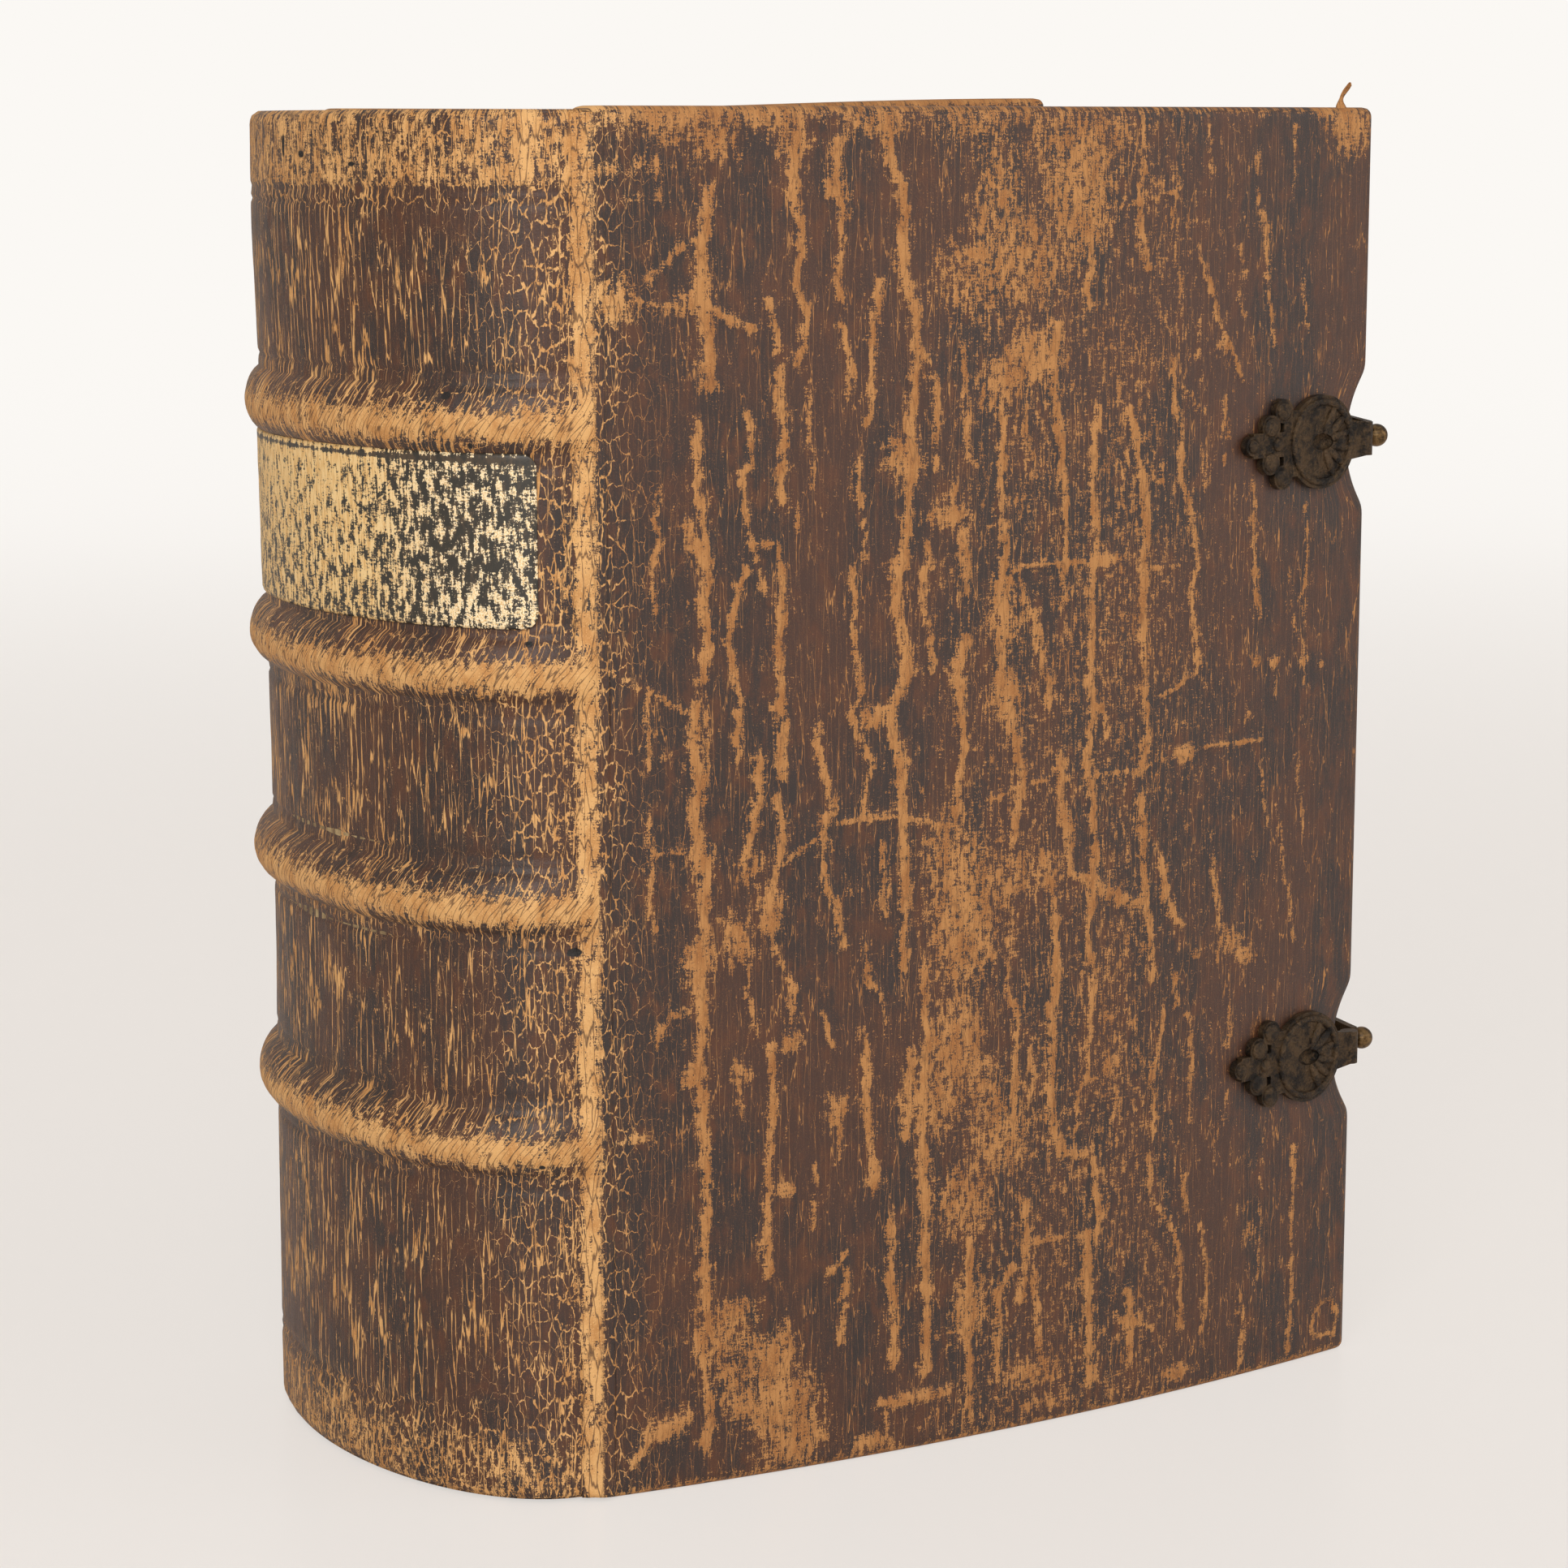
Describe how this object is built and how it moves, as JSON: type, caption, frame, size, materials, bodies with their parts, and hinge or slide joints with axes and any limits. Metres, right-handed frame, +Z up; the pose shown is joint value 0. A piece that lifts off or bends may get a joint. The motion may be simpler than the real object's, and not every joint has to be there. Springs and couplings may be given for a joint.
{
  "type": "antique leather book",
  "caption": "Antique leather-bound book with raised bands on a rounded spine, wooden boards that open and brass fore-edge clasps.",
  "frame": {"origin": "on the floor, under the middle of the bounding box, with the book standing on its tail edge", "axes": "+Z up along the height, -X towards the spine, +X towards the fore-edge, -Y out of the front cover"},
  "size_m": [0.1706, 0.1018, 0.202],
  "materials": {
    "pages": "aged rag paper, toned at the edges",
    "leather": "dark brown calf, rubbed through to tan",
    "label_skin": "thin dark skin with flaked gilding",
    "thread": "faded wound thread",
    "cord": "hemp cord",
    "lining": "glued waste paper",
    "endpaper": "aged laid paper",
    "board_wood": "old oak",
    "clasp_brass": "cast brass with a dark patina"
  },
  "bodies": {
    "book_block": {"text_block": "pages", "spine_leather": "leather", "title_label": "label_skin", "head_endband": "thread", "tail_endband": "thread", "sewing_cord_1": "cord", "sewing_cord_2": "cord", "sewing_cord_3": "cord", "sewing_cord_4": "cord", "spine_lining_1": "lining", "spine_lining_2": "lining", "spine_lining_3": "lining", "spine_lining_4": "lining", "spine_lining_5": "lining"},
    "front_cover": {"front_board": "board_wood", "front_leather": "leather", "front_pastedown": "endpaper", "upper_catch": "clasp_brass", "lower_catch": "clasp_brass", "catch_nails": "clasp_brass"},
    "back_cover": {"back_board": "board_wood", "back_leather": "leather", "back_pastedown": "endpaper", "upper_anchor": "clasp_brass", "lower_anchor": "clasp_brass", "anchor_nails": "clasp_brass", "upper_hinge_pin": "clasp_brass", "lower_hinge_pin": "clasp_brass"},
    "upper_clasp": {"upper_clasp": "clasp_brass", "upper_knob": "clasp_brass"},
    "lower_clasp": {"lower_clasp": "clasp_brass", "lower_knob": "clasp_brass"}
  },
  "joints": [
    {"name": "front_cover_hinge", "type": "hinge", "parent": "book_block", "child": "front_cover", "pos_m": [-0.05885, -0.043, 0.1], "axis": [0, 0, -1], "range_deg": [0, 150]},
    {"name": "back_cover_hinge", "type": "hinge", "parent": "book_block", "child": "back_cover", "pos_m": [-0.05885, 0.043, 0.1], "axis": [0, 0, 1], "range_deg": [0, 150]},
    {"name": "upper_clasp_hinge", "type": "hinge", "parent": "back_cover", "child": "upper_clasp", "pos_m": [0.08095, 0.0468, 0.1489], "axis": [0, 0, 1], "range_deg": [0, 170]},
    {"name": "lower_clasp_hinge", "type": "hinge", "parent": "back_cover", "child": "lower_clasp", "pos_m": [0.08095, 0.0468, 0.051], "axis": [0, 0, 1], "range_deg": [0, 170]}
  ]
}
